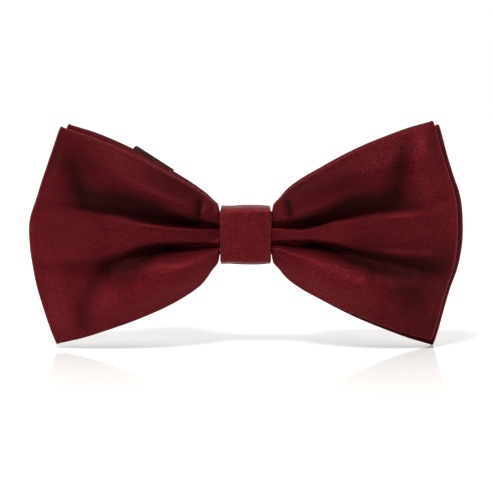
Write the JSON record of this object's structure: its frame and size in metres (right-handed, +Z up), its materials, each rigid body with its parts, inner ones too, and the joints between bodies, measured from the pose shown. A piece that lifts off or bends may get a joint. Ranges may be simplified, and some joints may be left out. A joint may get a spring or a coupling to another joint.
{
  "type": "bow tie",
  "caption": "Pre-tied double bow tie in burgundy satin with a wrapped knot and a folded, adjustable neck strap that ends in a metal hook and an eye.",
  "frame": {"origin": "centre of the knot's flat back face, which rests on the collar", "axes": "+X along the bow to the wearer's left as seen from the front, +Y backward to the collar, +Z up"},
  "size_m": [0.12, 0.0269, 0.063],
  "materials": {
    "front_satin": "satin twill",
    "rear_satin": "satin twill",
    "knot_satin": "smooth satin",
    "strap_satin": "satin twill",
    "interlining": "matt woven canvas",
    "thread": "spun polyester thread",
    "nickel": "nickel plated"
  },
  "bodies": {
    "bow": {"front_bow_satin": "front_satin", "front_bow_interlining": "interlining", "rear_bow_satin": "rear_satin", "rear_bow_interlining": "interlining", "pleat_binding_thread": "thread", "knot_wrap": "knot_satin", "knot_liner": "interlining", "knot_stitches": "thread", "strap_centre": "strap_satin"},
    "left_arm": {"strap_left_bend": "strap_satin", "strap_left_run_1": "strap_satin"},
    "left_run_2": {"strap_left_fold_1": "strap_satin", "strap_left_run_2": "strap_satin"},
    "left_end": {"strap_left_fold_2": "strap_satin", "strap_left_run_3": "strap_satin", "hook_end_tack": "thread"},
    "hook": {"neck_hook": "nickel"},
    "right_arm": {"strap_right_bend": "strap_satin", "strap_right_run_1": "strap_satin"},
    "right_run_2": {"strap_right_fold_1": "strap_satin", "strap_right_run_2": "strap_satin"},
    "right_run_3": {"strap_right_fold_2": "strap_satin", "strap_right_run_3": "strap_satin"},
    "right_run_4": {"strap_right_fold_3": "strap_satin", "strap_right_run_4": "strap_satin"},
    "right_end": {"strap_right_fold_4": "strap_satin", "strap_right_run_5": "strap_satin"},
    "adjuster": {"adjuster_slider": "nickel", "adjuster_sewn_end": "strap_satin", "adjuster_tack": "thread"},
    "eye": {"neck_eye": "nickel"}
  },
  "joints": [
    {"name": "left_arm_swing", "type": "hinge", "parent": "bow", "child": "left_arm", "pos_m": [-0.0109, 0.0009, 0], "axis": [0, 0, -1], "range_deg": [0, 75], "deforming": ["strap_left_bend"]},
    {"name": "left_fold_1", "type": "hinge", "parent": "left_arm", "child": "left_run_2", "pos_m": [-0.054, 0.00398, 0], "axis": [-0.0631, 0, 0.998], "range_deg": [0, 175], "deforming": ["strap_left_fold_1"]},
    {"name": "left_fold_2", "type": "hinge", "parent": "left_run_2", "child": "left_end", "pos_m": [-0.017, 0.00543, 0.0047], "axis": [-0.2229, 0, -0.9748], "range_deg": [0, 175], "deforming": ["strap_left_fold_2"]},
    {"name": "hook_turn", "type": "hinge", "parent": "left_end", "child": "hook", "pos_m": [-0.02505, 0.00715, 0.00993], "axis": [-0.5446, 0, -0.8387], "range_deg": [-5, 80]},
    {"name": "right_arm_swing", "type": "hinge", "parent": "bow", "child": "right_arm", "pos_m": [0.0109, 0.0009, 0], "axis": [0, 0, 1], "range_deg": [0, 75], "deforming": ["strap_right_bend"]},
    {"name": "right_fold_1", "type": "hinge", "parent": "right_arm", "child": "right_run_2", "pos_m": [0.054, 0.00398, 0], "axis": [0, 0, -1], "range_deg": [0, 175], "deforming": ["strap_right_fold_1"]},
    {"name": "right_fold_2", "type": "hinge", "parent": "right_run_2", "child": "right_run_3", "pos_m": [0.0145, 0.00543, 0], "axis": [0, 0, 1], "range_deg": [0, 175], "deforming": ["strap_right_fold_2"]},
    {"name": "right_fold_3", "type": "hinge", "parent": "right_run_3", "child": "right_run_4", "pos_m": [0.054, 0.00688, 0], "axis": [0, 0, -1], "range_deg": [0, 175], "deforming": ["strap_right_fold_3"]},
    {"name": "right_fold_4", "type": "hinge", "parent": "right_run_4", "child": "right_end", "pos_m": [0.0145, 0.00833, 0], "axis": [0, 0, 1], "range_deg": [0, 175], "deforming": ["strap_right_fold_4"]},
    {"name": "adjuster_slide", "type": "slide", "parent": "right_end", "child": "adjuster", "axis": [-1, 0, 0], "range_m": [0, 0.009]},
    {"name": "eye_turn", "type": "hinge", "parent": "right_end", "child": "eye", "pos_m": [0.044, 0.01005, 0], "axis": [0, 0, 1], "range_deg": [-8, 80]}
  ],
  "couplings": [
    {"joint": "left_fold_2", "follows": "left_fold_1", "ratio": 1},
    {"joint": "right_fold_2", "follows": "right_fold_1", "ratio": 1},
    {"joint": "right_fold_3", "follows": "right_fold_1", "ratio": 1},
    {"joint": "right_fold_4", "follows": "right_fold_1", "ratio": 1}
  ]
}
